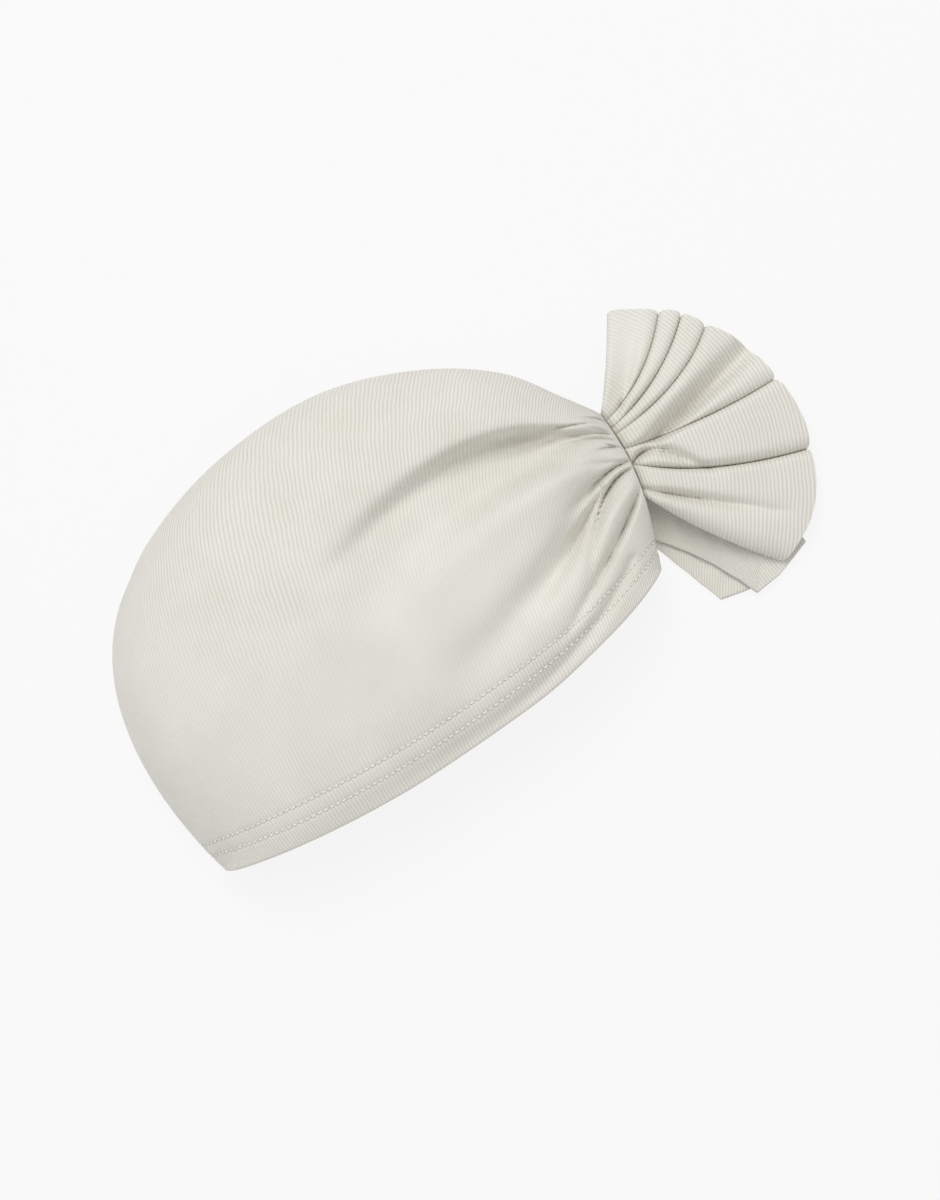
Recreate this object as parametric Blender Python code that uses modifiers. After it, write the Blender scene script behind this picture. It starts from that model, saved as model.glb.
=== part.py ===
"""Baby's turban hat in fine ribbed cotton jersey, lying on its side.

The cap is a bag of cloth that is open at the hem. Its front is pinched by a gather, and the cloth beyond
the gather spreads as a pleated fan of a front and a back layer.

Sizes and tables are in millimetres. In the pattern, X runs along the hem from its back corner to its front,
Y from the hem to the top fold, and Z up from the surface that the hat lies on. An empty then moves the whole
hat, so that the world's origin is under the middle of its box.
"""

from collections import namedtuple

import bpy
import numpy as np

MM = 0.001

# Walls of cloth, and the gaps between them: beside each other, edge to edge, and between the hem and the cap
CAP_WALL = 1.8
HEM_WALL = 2.6
FAN_WALL = 1.6
GAP = 0.3
BUTT_GAP = 0.5
HEM_GAP = 0.8

# Narrow rows of faces on both sides of the hem's gap, so that both walls end there at the same slant
HEM_STRIP = 1.5

# Cap: the near side rises from the folded edge, the far side lies flat
EDGE_HEIGHT = 14.0
CAP_RISE = 48.0
CAP_REACH = 64.0
FLAT_REACH = 16.0
PINCH_SHARE = 0.6
PINCH_REACH = 35.0
HEM_WIDTH = 13.0
HEM_HANDLE = 36.0
HEM_SAG = 0.48
FAR_HEM_INSET = 2.5
FOLD_TAPER = 3.0
FOLD_ROOT_SHARE = 0.5
FOLD_GROWN = 0.5

# Gather: a slim seam of bunched cloth between the cap and the fan, whose root lies over it
GATHER_START = 0.33
GATHER_STEP = 0.01
SEAM_WIDTH = 2.4
SEAM_LOW = 5.8
SEAM_TOP = 12.5
SEAM_END = 0.8

# Fan: the crest of its front layer falls from the gather to the rim
FAN_ROOT_CREST = 19.5
FAN_RIM_CREST = 9.5
FAN_FALL = 1.8
FAN_ROOT_BLEND = 0.35
PLEAT_ROOT_SHARE = 0.5
PLEAT_ROOT_DEPTH = 0.15
PLEAT_RIM_SHARE = 0.72

# The fan's back layer drops from the upper part of the gather and then lies flat
BACK_ROOT_HEIGHT = 7.5
BACK_DROP = 9.0
BACK_RISE_START = 0.65

# Faces
CAP_COLUMNS = 38
CAP_ROWS = 22
FRONT_CROWDING = 0.14
HEM_ROWS = 2
FAN_STEPS = 4
FAN_ROWS = 11
LAYER_STEPS = 2
BACK_ROWS = 8
FAN_HEM_ROWS = 3
SEAM_RINGS = 15
SEAM_SIDES = 10
CURVE_POINTS = 16
ROOT_POINTS = 40
NEAR_NOTHING = 1e-6

OATMEAL = (0.745, 0.723, 0.658, 1.0)
SHADED_OATMEAL = (0.66, 0.64, 0.575, 1.0)

# Each row is a column of ribs that runs from the hem over the cap to the top fold: its place from the back
# to the front, the hem point, the angle at which it leaves the hem, the top point, and the shoulder that
# bends it towards the top
Section = namedtuple("Section", "share hem_x hem_y lean top_x top_y shoulder_x shoulder_y")
SECTIONS = (
    Section(0.00, 0.0, 0.0, 102.0, 28.9, 107.1, -6.5, 85.0),
    Section(0.10, 14.9, -4.1, 94.0, 44.8, 116.3, 14.4, 90.2),
    Section(0.24, 40.7, -9.5, 88.0, 79.3, 126.1, 51.7, 104.7),
    Section(0.40, 75.2, -13.4, 86.0, 125.4, 126.3, 100.8, 97.5),
    Section(0.56, 110.4, -14.1, 85.5, 164.4, 111.6, 137.4, 85.3),
    Section(0.70, 140.7, -12.8, 84.0, 189.6, 92.2, 165.9, 74.4),
    Section(0.82, 166.3, -9.2, 79.0, 202.0, 73.1, 184.6, 59.1),
    Section(0.92, 183.0, -5.2, 72.0, 207.4, 63.9, 200.9, 52.2),
    Section(1.00, 195.2, -1.2, 65.5, 209.7, 59.6, 209.9, 43.6),
)

# Each row is a fold that runs out from the gather: where it starts, bends and ends, how deep it is (a ridge is
# less than nothing), how wide at its end to the left and right of its run, from soft at 0 to creased at 1, and
# the share of the depth at its start
Fold = namedtuple("Fold", "name start_x start_y bend_x bend_y end_x end_y depth left right crease rooted")
CAP_FOLDS = (
    Fold("main", 206.3, 53.4, 161.8, 80.1, 98.8, 65.0, 15.0, 18.0, 8.0, 0.0, 0.3),
    Fold("main_ridge", 204.9, 46.2, 174.9, 61.4, 105.6, 39.9, -6.0, 11.0, 9.0, 0.0, 0.3),
    Fold("below_ridge", 191.7, 33.8, 160.9, 35.0, 93.0, 5.8, 7.0, 7.0, 8.0, 0.0, 0.5),
    Fold("low_ridge", 196.5, 29.1, 172.3, 15.8, 112.0, 3.8, -3.0, 6.0, 6.0, 0.0, 0.5),
    Fold("second", 210.1, 38.1, 193.3, 42.6, 166.9, 35.8, 11.0, 5.0, 4.0, 0.3, 0.6),
    Fold("front", 207.4, 29.1, 179.5, 9.0, 142.1, -1.5, 7.0, 6.0, 6.0, 0.0, 0.5),
    Fold("hem_groove", 174.1, 7.3, 123.5, -8.8, 45.8, -0.4, 3.5, 5.5, 5.0, 0.0, 0.0),
)

# Each row is a crease of the fan's front layer, from its first edge to its fold: how far up the gather it starts,
# where it bends, where it meets the rim, its depth, and how far the cloth curves down into it on either side. A
# row without depth only shapes the rim
Pleat = namedtuple("Pleat", "root bend_x bend_y rim_x rim_y depth left right")
FAN_PLEATS = (
    Pleat(1.00, 221.0, 71.1, 234.2, 89.4, 4.0, 3.0, 3.0),
    Pleat(0.93, 232.1, 60.6, 249.1, 79.0, 6.0, 6.0, 4.0),
    Pleat(0.86, 235.3, 56.1, 256.2, 73.1, 6.0, 4.0, 4.0),
    Pleat(0.80, 241.3, 51.0, 261.2, 66.0, 6.0, 4.0, 6.0),
    Pleat(0.73, 241.8, 44.8, 268.1, 52.6, 0.0, 1.0, 1.0),
    Pleat(0.67, 240.9, 36.4, 272.1, 34.4, 7.5, 9.0, 4.0),
    Pleat(0.61, 236.3, 29.7, 271.1, 17.5, 0.0, 1.0, 1.0),
    Pleat(0.55, 230.2, 20.4, 266.9, 5.1, 7.5, 11.0, 4.0),
    Pleat(0.48, 224.1, 15.6, 260.6, -7.7, 0.0, 1.0, 1.0),
    Pleat(0.42, 223.1, 6.4, 251.0, -17.6, 0.0, 1.0, 1.0),
    Pleat(0.36, 218.4, -0.3, 235.5, -24.9, 5.0, 5.0, 3.0),
)
FAN_FOLDS = (
    Fold("broad", 212.0, 45.3, 240.8, 49.1, 312.9, 61.8, 6.0, 7.0, 7.0, 0.0, 0.4),
    Fold("low", 207.3, 29.6, 220.7, 17.1, 251.5, -9.9, 6.0, 3.5, 5.0, 0.5, 0.6),
)

# Each row is a straight line of the back layer, from the gather to its rim
BackLine = namedtuple("BackLine", "root rim_x rim_y")
BACK_LINES = (
    BackLine(0.97, 231.4, 82.8),
    BackLine(0.90, 245.8, 73.6),
    BackLine(0.80, 256.9, 60.4),
    BackLine(0.70, 265.2, 34.3),
    BackLine(0.60, 262.3, 6.9),
    BackLine(0.52, 249.1, -13.2),
    BackLine(0.46, 232.3, -26.3),
    BackLine(0.42, 218.4, -25.5),
    BackLine(0.39, 208.1, -22.8),
    BackLine(0.34, 198.8, 8.7),
)

# Each row crosses the turned hem of the front layer, from its hidden edge to its edge that shows
HemLine = namedtuple("HemLine", "inner_x inner_y outer_x outer_y")
FAN_HEM_LINES = (
    HemLine(203.5, 21.0, 198.6, 9.2),
    HemLine(214.6, 12.3, 206.1, 2.1),
    HemLine(221.9, 2.7, 212.5, -8.8),
    HemLine(230.2, -6.7, 217.4, -19.9),
    HemLine(236.0, -11.2, 220.5, -28.3),
    HemLine(241.8, -15.3, 231.5, -27.5),
    HemLine(246.2, -19.3, 246.3, -23.0),
)


def smooth_between(stations, values, at):
    """Values at any place between the rows of a table, on cubic curves through the rows."""
    stations = np.asarray(stations, float)
    values = np.asarray(values, float)
    steps = np.diff(stations)[:, None]
    slopes = np.diff(values, axis=0) / steps
    share = steps[:-1] / (steps[:-1] + steps[1:])
    middle = slopes[:-1] * (1 - share) + slopes[1:] * share
    tangents = np.vstack((slopes[:1], middle, slopes[-1:]))
    row = np.clip(np.searchsorted(stations, at) - 1, 0, len(stations) - 2)
    step = steps[row]
    t = (at - stations[row])[:, None] / step
    start = (2 * t ** 3 - 3 * t ** 2 + 1) * values[row] + (t ** 3 - 2 * t ** 2 + t) * step * tangents[row]
    end = (3 * t ** 2 - 2 * t ** 3) * values[row + 1] + (t ** 3 - t ** 2) * step * tangents[row + 1]
    return start + end


def smooth_step(share):
    """A share from 0 to 1 that starts and ends gently."""
    share = np.clip(share, 0.0, 1.0)
    return share * share * (3.0 - 2.0 * share)


def dome(share):
    """A quarter round: upright at 0, level at 1 and beyond."""
    return np.sqrt(1.0 - (1.0 - np.clip(share, 0.0, 1.0)) ** 2)


def crowded(count):
    """Shares from 0 to 1 that crowd towards both ends, where the cloth turns over."""
    return (1.0 - np.cos(np.pi * np.arange(count + 1) / count)) / 2.0


def edge_distance(x, y, line):
    """Distance in plan from a folded edge, level and smooth away from it and exact beside a straight edge.

    Each stretch of the edge adds the sum of 1 / distance cubed along it, and a straight edge sums to
    2 / distance squared.
    """
    total = np.zeros_like(x)
    for start, end in zip(line[:-1], line[1:]):
        length = np.hypot(*(end - start))
        along_x, along_y = (end - start) / length
        run = (x - start[0]) * along_x + (y - start[1]) * along_y
        off = np.maximum(((x - start[0]) * along_y - (y - start[1]) * along_x) ** 2, NEAR_NOTHING)
        ahead = length - run
        total += (ahead / np.sqrt(off + ahead ** 2) + run / np.sqrt(off + run ** 2)) / off
    return np.sqrt(2.0 / np.maximum(total, NEAR_NOTHING))


def fold_depth(x, y, fold):
    """Depth of a fold whose middle runs on a bent line in plan.

    The section is a blend of a bell and of two quarter rounds that meet in a crease, as wide as stated to the
    left and right of the run, and narrower by FOLD_ROOT_SHARE at the start. The depth grows from its share at
    the start, and falls to nothing at the end.
    """
    t = np.linspace(0.0, 1.0, CURVE_POINTS)[:, None]
    start = np.array((fold.start_x, fold.start_y))
    bend = np.array((fold.bend_x, fold.bend_y))
    end = np.array((fold.end_x, fold.end_y))
    line = start * (1 - t) ** 2 + 2 * bend * t * (1 - t) + end * t ** 2
    best = np.full(x.shape, np.inf)
    share = np.zeros(x.shape)
    side = np.zeros(x.shape)
    for i in range(CURVE_POINTS - 1):
        run = line[i + 1] - line[i]
        off_x = x - line[i, 0]
        off_y = y - line[i, 1]
        place = np.clip((off_x * run[0] + off_y * run[1]) / (run @ run), 0.0, 1.0)
        distance = np.hypot(off_x - place * run[0], off_y - place * run[1])
        nearer = distance < best
        best = np.where(nearer, distance, best)
        share = np.where(nearer, (i + place) / (CURVE_POINTS - 1), share)
        side = np.where(nearer, run[0] * off_y - run[1] * off_x, side)
    width = np.where(side > 0, fold.left, fold.right) * (FOLD_ROOT_SHARE + (1 - FOLD_ROOT_SHARE) * share)
    bell = np.exp(-(best / width) ** 2)
    sharp = 1 - dome(best / width)
    grown = fold.rooted + (1 - fold.rooted) * smooth_step(share / FOLD_GROWN)
    return fold.depth * grown * (bell * (1 - fold.crease) + sharp * fold.crease) * (1 - share ** 2)


def cap_columns():
    """Shares across the cap: close together at both folded edges, and closer in the front third, where the folds
    run together."""
    count = np.arange(CAP_COLUMNS + 1) / CAP_COLUMNS
    even = (1.0 - np.cos(np.pi * count)) / 2.0
    return even + FRONT_CROWDING * np.sin(np.pi * count) ** 2 * np.sin(np.pi * count / 2)


def cap_plan(across, up):
    """Plan of the cap: a cubic curve from the hem to the top fold, for each share across."""
    shares = [row.share for row in SECTIONS]
    table = []
    for row in SECTIONS:
        lean = np.radians(row.lean)
        side_x = row.hem_x + HEM_HANDLE * np.cos(lean)
        side_y = row.hem_y + HEM_HANDLE * np.sin(lean)
        table.append((row.hem_x, row.hem_y, side_x, side_y, row.shoulder_x, row.shoulder_y, row.top_x, row.top_y))
    points = smooth_between(shares, table, across).reshape(-1, 4, 1, 2)
    r = up[None, :, None]
    return (points[:, 0] * (1 - r) ** 3 + 3 * points[:, 1] * r * (1 - r) ** 2
            + 3 * points[:, 2] * r ** 2 * (1 - r) + points[:, 3] * r ** 3)


def cap_sheets():
    """Points of the near and the far side of the cap, as grids that share their folded edges.

    The rows that bound the hem stand at shares up the columns, each of which leaves the hem at three times the
    length of its handle.
    """
    hem_share = HEM_WIDTH / (3 * HEM_HANDLE)
    half_gap = HEM_GAP / (6 * HEM_HANDLE)
    strip = HEM_STRIP / (3 * HEM_HANDLE)
    hem_rows = np.append(np.linspace(0.0, hem_share - strip, HEM_ROWS), hem_share - half_gap)
    first_row = hem_share + half_gap
    cap_start = hem_share + strip
    cap_rows = cap_start + (1 - cap_start) * np.sin(np.pi / 2 * np.arange(CAP_ROWS + 1) / CAP_ROWS)
    up = np.concatenate((hem_rows, [first_row], cap_rows))
    plan = cap_plan(cap_columns(), up)
    x = plan[..., 0]
    y = plan[..., 1]
    folded_edge = np.concatenate((plan[0], plan[1:-1, -1], plan[-1, ::-1]))
    distance = edge_distance(x, y, folded_edge)
    distance[0] = 0.0
    distance[-1] = 0.0
    distance[:, -1] = 0.0

    rise = CAP_RISE * dome(distance / CAP_REACH)
    gather = cap_plan(np.ones(1), np.array([(1 + GATHER_START) / 2]))[0, 0]
    pinch = 1 - PINCH_SHARE * np.exp(-np.hypot(x - gather[0], y - gather[1]) / PINCH_REACH)
    sag = 1 - HEM_SAG * (1 - up[None, :]) ** 3
    folds = sum(fold_depth(x, y, fold) for fold in CAP_FOLDS)
    taper = 1 - np.exp(-distance / FOLD_TAPER)
    near = np.stack((x, y, EDGE_HEIGHT + rise * pinch * sag - folds * taper), axis=-1)

    lie = dome(distance / FLAT_REACH)
    inset = FAR_HEM_INSET * lie * (1 - up[None, :]) ** 3
    far = np.stack((x, y + inset, EDGE_HEIGHT * (1 - lie)), axis=-1)
    return near, far


def gather_line(places, offset):
    """Points beside the gather, at shares up the cap's front column, and offset outwards from it."""
    places = np.asarray(places, float)
    line = cap_plan(np.ones(1), places)[0]
    ahead = cap_plan(np.ones(1), places + GATHER_STEP)[0]
    run = (ahead - line) / np.linalg.norm(ahead - line, axis=1)[:, None]
    outward = np.stack((run[:, 1], -run[:, 0]), axis=-1)
    return line + outward * offset


def fan_root(places):
    """Where the fan's back layer leaves the gather's seam."""
    return gather_line(places, GAP + SEAM_WIDTH + BUTT_GAP)


def back_height(x, y):
    """Height of the back layer's upper side: it drops from the gather and then lies flat."""
    root = fan_root(np.linspace(BACK_RISE_START, 1.0, ROOT_POINTS))
    distance = np.hypot(x[..., None] - root[:, 0], y[..., None] - root[:, 1]).min(axis=-1)
    return FAN_WALL + (BACK_ROOT_HEIGHT - FAN_WALL) * (1 - smooth_step(distance / BACK_DROP))


def pleat_lines(stations):
    """Plan of the front layer's lines at places between the rows of creases, and their shares out to the rim."""
    table = [(pleat.root, pleat.bend_x, pleat.bend_y, pleat.rim_x, pleat.rim_y) for pleat in FAN_PLEATS]
    lines = smooth_between(np.arange(len(FAN_PLEATS)), table, stations)
    root = gather_line(lines[:, 0], BUTT_GAP)[:, None]
    out = np.sin(np.pi / 2 * np.arange(FAN_ROWS + 1) / FAN_ROWS)
    t = out[None, :, None]
    plan = root * (1 - t) ** 2 + 2 * lines[:, None, 1:3] * t * (1 - t) + lines[:, None, 3:5] * t ** 2
    return plan, out[None, :]


def fan_front_sheet():
    """Points of the fan's front layer, as a grid from one edge to the other and from the root to the rim.

    A panel of cloth stands between each two creases and curves down into both of them by quarter rounds.
    """
    panels = len(FAN_PLEATS) - 1
    across = np.append((np.arange(panels)[:, None] + crowded(FAN_STEPS)[None, :-1]).ravel(), panels)
    plan, out = pleat_lines(across)
    creases, _ = pleat_lines(np.arange(panels + 1.0))
    panel = np.minimum(across.astype(int), panels - 1)
    creased = np.array([row for row in range(panels + 1) if FAN_PLEATS[row].depth > 0])
    before = np.array([creased[creased <= row].max() for row in panel])
    behind = np.array([creased[creased > row].min() for row in panel])

    reach_share = PLEAT_ROOT_SHARE + (1 - PLEAT_ROOT_SHARE) * out
    depth_share = PLEAT_ROOT_DEPTH + (1 - PLEAT_ROOT_DEPTH) * smooth_step(out / FAN_ROOT_BLEND)
    depth_share = depth_share * (1 - (1 - PLEAT_RIM_SHARE) * out ** 2)
    folds = sum(fold_depth(plan[..., 0], plan[..., 1], fold) for fold in FAN_FOLDS)
    drop = folds * smooth_step(out / FAN_ROOT_BLEND)
    for nearest, width in ((before, "right"), (behind, "left")):
        depth = np.array([pleat.depth for pleat in FAN_PLEATS])[nearest][:, None]
        reach = np.array([getattr(pleat, width) for pleat in FAN_PLEATS])[nearest][:, None]
        distance = np.linalg.norm(plan - creases[nearest], axis=-1)
        drop += depth * depth_share * (1 - dome(distance / (reach * reach_share)))
    crest = FAN_RIM_CREST + (FAN_ROOT_CREST - FAN_RIM_CREST) * (1 - out ** FAN_FALL)
    return np.concatenate((plan, (crest - drop)[..., None]), axis=-1)


def layer_plan(starts, ends, rows):
    """Plan of a flat layer between two lines of points, with straight edges from row to row of its table."""
    stations = np.arange(len(starts))
    across = np.linspace(0, len(starts) - 1, LAYER_STEPS * (len(starts) - 1) + 1)
    table = np.concatenate((starts, ends), axis=1)
    lines = np.stack([np.interp(across, stations, table[:, i]) for i in range(4)], axis=-1)
    out = np.linspace(0.0, 1.0, rows + 1)[None, :, None]
    return lines[:, None, :2] * (1 - out) + lines[:, None, 2:] * out


def fan_back_sheet():
    """Top points of the fan's back layer, which drops from the gather and lies flat."""
    root = fan_root([line.root for line in BACK_LINES])
    rim = np.array([(line.rim_x, line.rim_y) for line in BACK_LINES])
    plan = layer_plan(root, rim, BACK_ROWS)
    z = back_height(plan[..., 0], plan[..., 1])
    return np.concatenate((plan, z[..., None]), axis=-1)


def fan_hem_sheet():
    """Top points of the front layer's turned hem, which lies on the back layer."""
    outer = np.array([(line.outer_x, line.outer_y) for line in FAN_HEM_LINES])
    inner = np.array([(line.inner_x, line.inner_y) for line in FAN_HEM_LINES])
    plan = layer_plan(outer, inner, FAN_HEM_ROWS)
    z = back_height(plan[..., 0], plan[..., 1]) + GAP + FAN_WALL
    return np.concatenate((plan, z[..., None]), axis=-1)


def gather_seam_tube():
    """Rings of the gather's seam: an upright oval that follows the gather and narrows at its ends."""
    share = np.linspace(0.0, 1.0, SEAM_RINGS)
    places = GATHER_START + (1 - GATHER_START) * share
    middle = gather_line(places, GAP + SEAM_WIDTH / 2)
    side = gather_line(places, GAP + SEAM_WIDTH) - middle
    turn = np.linspace(0.0, 2 * np.pi, SEAM_SIDES + 1)[:-1]
    size = np.sqrt(1 - (2 * share - 1) ** 4 * SEAM_END)
    plan = middle[:, None] + side[:, None] * (np.cos(turn)[None, :] * size[:, None])[..., None]
    height = (SEAM_TOP + SEAM_LOW) / 2 + (SEAM_TOP - SEAM_LOW) / 2 * np.sin(turn)[None, :] * size[:, None]
    return np.concatenate((plan, height[..., None]), axis=-1)


def clear_scene():
    """Remove what is in the scene."""
    for thing in list(bpy.data.objects):
        bpy.data.objects.remove(thing, do_unlink=True)


def cloth_material(name, colour):
    """Matt cotton jersey."""
    material = bpy.data.materials.new(name)
    material.use_nodes = True
    shader = material.node_tree.nodes["Principled BSDF"]
    shader.inputs["Base Color"].default_value = colour
    shader.inputs["Roughness"].default_value = 0.9
    shader.inputs["Metallic"].default_value = 0.0
    return material


def grid_faces(index):
    """Four-sided faces of a grid of point numbers, in the grid's own order."""
    corners = (index[:-1, :-1], index[1:, :-1], index[1:, 1:], index[:-1, 1:])
    return np.stack([corner.ravel() for corner in corners], axis=-1)


def add_piece(name, points, faces, colour, collection, parent, wall=None):
    """One sub-part from its points and faces, with a wall inwards from its surface if it is a sheet."""
    mesh = bpy.data.meshes.new(name)
    mesh.from_pydata((points * MM).tolist(), [], faces.tolist())
    mesh.shade_smooth()
    mesh.materials.append(cloth_material(name + "_jersey", colour))
    piece = bpy.data.objects.new(name, mesh)
    collection.objects.link(piece)
    piece.parent = parent
    if wall:
        thickness = piece.modifiers.new("Wall", "SOLIDIFY")
        thickness.thickness = wall * MM
        thickness.offset = -1.0
        thickness.use_even_offset = False
        thickness.use_quality_normals = True
    return piece


def add_bag(name, near, far, closed_top, wall, colour, collection, parent):
    """A piece whose near and far sheets are one cloth, folded at both ends and perhaps at the top."""
    columns, rows = near.shape[:2]
    near_index = np.arange(columns * rows).reshape(columns, rows)
    far_index = near_index.copy()
    last = rows - 1 if closed_top else rows
    inner = far[1:-1, :last].reshape(-1, 3)
    far_index[1:-1, :last] = columns * rows + np.arange(len(inner)).reshape(columns - 2, last)
    points = np.concatenate((near.reshape(-1, 3), inner))
    faces = np.concatenate((grid_faces(near_index), grid_faces(far_index)[:, ::-1]))
    return add_piece(name, points, faces, colour, collection, parent, wall)


def add_sheet(name, grid, wall, colour, collection, parent):
    """A piece that is one sheet, with the grid on its upper side."""
    columns, rows = grid.shape[:2]
    index = np.arange(columns * rows).reshape(columns, rows)
    faces = grid_faces(index)
    return add_piece(name, grid.reshape(-1, 3), faces, colour, collection, parent, wall)


def add_tube(name, rings, colour, collection, parent):
    """A closed piece from rings, with a fan of faces at each end."""
    count, sides = rings.shape[:2]
    index = np.arange(count * sides).reshape(count, sides)
    index = np.concatenate((index, index[:, :1]), axis=1)
    walls = grid_faces(index)
    ends = []
    for middle, ring, order in ((count * sides, index[0], 1), (count * sides + 1, index[-1], -1)):
        for first, second in zip(ring[:-1], ring[1:]):
            ends.append((middle, first, second)[::order])
    points = np.concatenate((rings.reshape(-1, 3), rings[0].mean(axis=0)[None], rings[-1].mean(axis=0)[None]))
    mesh_faces = walls.tolist() + [[int(corner) for corner in face] for face in ends]
    return add_piece(name, points, np.array(mesh_faces, dtype=object), colour, collection, parent)


def main():
    """Build the hat."""
    clear_scene()
    collection = bpy.data.collections.new("turban_hat")
    bpy.context.scene.collection.children.link(collection)

    near, far = cap_sheets()
    fan_front = fan_front_sheet()
    fan_back = fan_back_sheet()
    fan_hem = fan_hem_sheet()
    seam = gather_seam_tube()
    every_point = np.concatenate([grid.reshape(-1, 3) for grid in (near, far, fan_front, fan_back, fan_hem, seam)])
    middle = (every_point.min(axis=0) + every_point.max(axis=0)) / 2

    lay = bpy.data.objects.new("lay", None)
    collection.objects.link(lay)
    lay.location = (-middle[0] * MM, -middle[1] * MM, 0.0)

    hem = HEM_ROWS + 1
    add_bag("hem_band", near[:, :hem], far[:, :hem], False, HEM_WALL, OATMEAL, collection, lay)
    add_bag("crown", near[:, hem:], far[:, hem:], True, CAP_WALL, OATMEAL, collection, lay)
    add_tube("gather_seam", seam, SHADED_OATMEAL, collection, lay)
    add_sheet("fan_front", fan_front, FAN_WALL, OATMEAL, collection, lay)
    add_sheet("fan_hem", fan_hem, FAN_WALL, SHADED_OATMEAL, collection, lay)
    add_sheet("fan_back", fan_back, FAN_WALL, SHADED_OATMEAL, collection, lay)


main()
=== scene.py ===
"""The visible cloth of a baby's turban hat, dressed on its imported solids.

The hat lies on its side. Sizes and tables are in millimetres of the hat's pattern, whose origin is the hem's
back corner: X runs along the hem towards the fan, Y towards the top fold, and Z up. to_hat() turns pattern
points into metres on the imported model.
"""

from collections import namedtuple

import bpy
import numpy as np
from bpy.props import FloatProperty, FloatVectorProperty, PointerProperty
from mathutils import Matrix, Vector


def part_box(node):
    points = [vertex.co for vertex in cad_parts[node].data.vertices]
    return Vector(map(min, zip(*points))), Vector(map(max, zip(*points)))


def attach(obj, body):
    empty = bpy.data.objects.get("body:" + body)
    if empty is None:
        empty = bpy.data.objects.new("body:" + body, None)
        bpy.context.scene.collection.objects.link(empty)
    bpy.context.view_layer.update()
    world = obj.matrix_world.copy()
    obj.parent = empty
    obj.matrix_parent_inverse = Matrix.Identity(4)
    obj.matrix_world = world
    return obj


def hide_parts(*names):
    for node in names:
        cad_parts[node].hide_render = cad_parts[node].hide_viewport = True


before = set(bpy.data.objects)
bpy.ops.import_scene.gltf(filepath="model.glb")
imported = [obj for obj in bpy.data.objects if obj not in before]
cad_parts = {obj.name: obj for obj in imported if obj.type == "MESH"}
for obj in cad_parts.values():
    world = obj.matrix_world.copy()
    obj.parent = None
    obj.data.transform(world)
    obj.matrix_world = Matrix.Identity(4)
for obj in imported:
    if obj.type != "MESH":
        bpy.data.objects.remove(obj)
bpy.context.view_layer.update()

bl_info = {
    "name": "Turban Hat",
    "version": (1, 0, 0),
    "blender": (4, 5, 0),
    "location": "3D View > Sidebar > Turban Hat",
    "description": "Builds the knitted cloth of a baby's turban hat on its packed solids",
    "category": "Add Mesh",
}

MM = 0.001
DECIMETRE = 100.0

# Least values that a division may meet: of any kind, and of a squared distance from a line
TINY = 1e-12
ON_LINE = 1e-6

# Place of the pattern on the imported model, and of the camera over the pattern
CAP_LOW_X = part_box("crown")[0][0]
CAP_HIGH_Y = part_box("crown")[1][1]
EDGE_POINTS = 400
PHOTO_WIDTH = 940
PHOTO_HEIGHT = 1200
HEM_CORNER_PIXEL = (228, 872)
PIXEL = 0.37
CAMERA_ROLL = 35.0
CAMERA_HEIGHT = 1200.0
OUTLINE_HEIGHT = 14.0
SENSOR_WIDTH = 36.0

# Floor and key light, in metres
FLOOR_SIZE = 6.0
KEY_PLACE = (0.4, 1.7, 2.6)
KEY_SIZE = 1.5

# Cap: its folded edge, how the near side rises from there, where the far side lies flat, and how the near
# side is pinched beside the gather and sags at the hem
EDGE_HEIGHT = 14.0
CAP_RISE = 48.0
CAP_REACH = 64.0
FLAT_REACH = 16.0
PINCH_SHARE = 0.6
PINCH_REACH = 35.0
HEM_HANDLE = 36.0
HEM_SAG = 0.48
FAR_HEM_INSET = 2.5

# Folds: how near to a folded edge they fade, how narrow they start, and where on the run they are fully grown
FOLD_TAPER = 1.6
FOLD_ROOT_SHARE = 0.4
FOLD_GROWN = 0.35

# Hem: its length and its turning, the distances of its stitch rows from the edge, and the grooves and puckers
# that the stitches pull
HEM_LENGTH = 195.0
HEM_WALL = 2.6
HEM_TURNING = 15.0
HEM_ZONE = 17.0
STITCH_ROWS = (8.2, 13.2)
STITCH_GROOVE = 0.3
GROOVE_WIDTH = 0.8
PUCKER_HEIGHT = 0.12
PUCKER_LENGTH = 6.5
PUCKER_REACH = 5.0

# Stitches: how far a thread is lifted and arched as shares of its thickness, how blunt its ends are, and
# where on its half length the painted shade on its ends starts, where they go into the cloth, and how far it
# grows
DASH_LIFT = 0.35
DASH_ARCH = 0.35
DASH_END = 1.02
HOLE_SHADE_START = 0.55
HOLE_SHADE_REACH = 0.3

# Gather: where it starts up the cap's front, how it lifts the cap, and its seam of bunched cloth, with the
# gaps on either side
GATHER_START = 0.33
GATHER_LIFT = 5.5
GATHER_LIFT_REACH = 10.0
GAP = 0.3
BUTT_GAP = 0.5
SEAM_WIDTH = 2.4
SEAM_SPREAD = 2.6
SEAM_TOP = 12.3
SEAM_LOW = 5.8
SEAM_LENGTH = 37.0
SEAM_GIRTH = 25.13
SEAM_END_LOSS = 0.9
SEAM_BUNCH = 0.35
SEAM_PLEATS = 11
SEAM_FINE_BUNCH = 0.15
SEAM_FINE_PLEATS = 23
BUNCH_SWELL = 0.2

# Fan: the height of the pleats' crests, how they leave the gather, and how deep and wide the creases are
FAN_ROOT_CREST = 21.0
FAN_RIM_CREST = 9.5
FAN_FALL = 1.8
FAN_ROOT_LIP = 4.0
FAN_ROOT_ROUND = 0.04
ROOT_GAP = 0.1
FAN_ROOT_BLEND = 0.35
PLEAT_ROOT_SHARE = 0.35
PLEAT_RIM_SHARE = 0.75
PLEAT_ROOT_DEPTH = 0.25
FAN_NOTCH = 1.5
NOTCH_SHARE = 0.08

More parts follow.
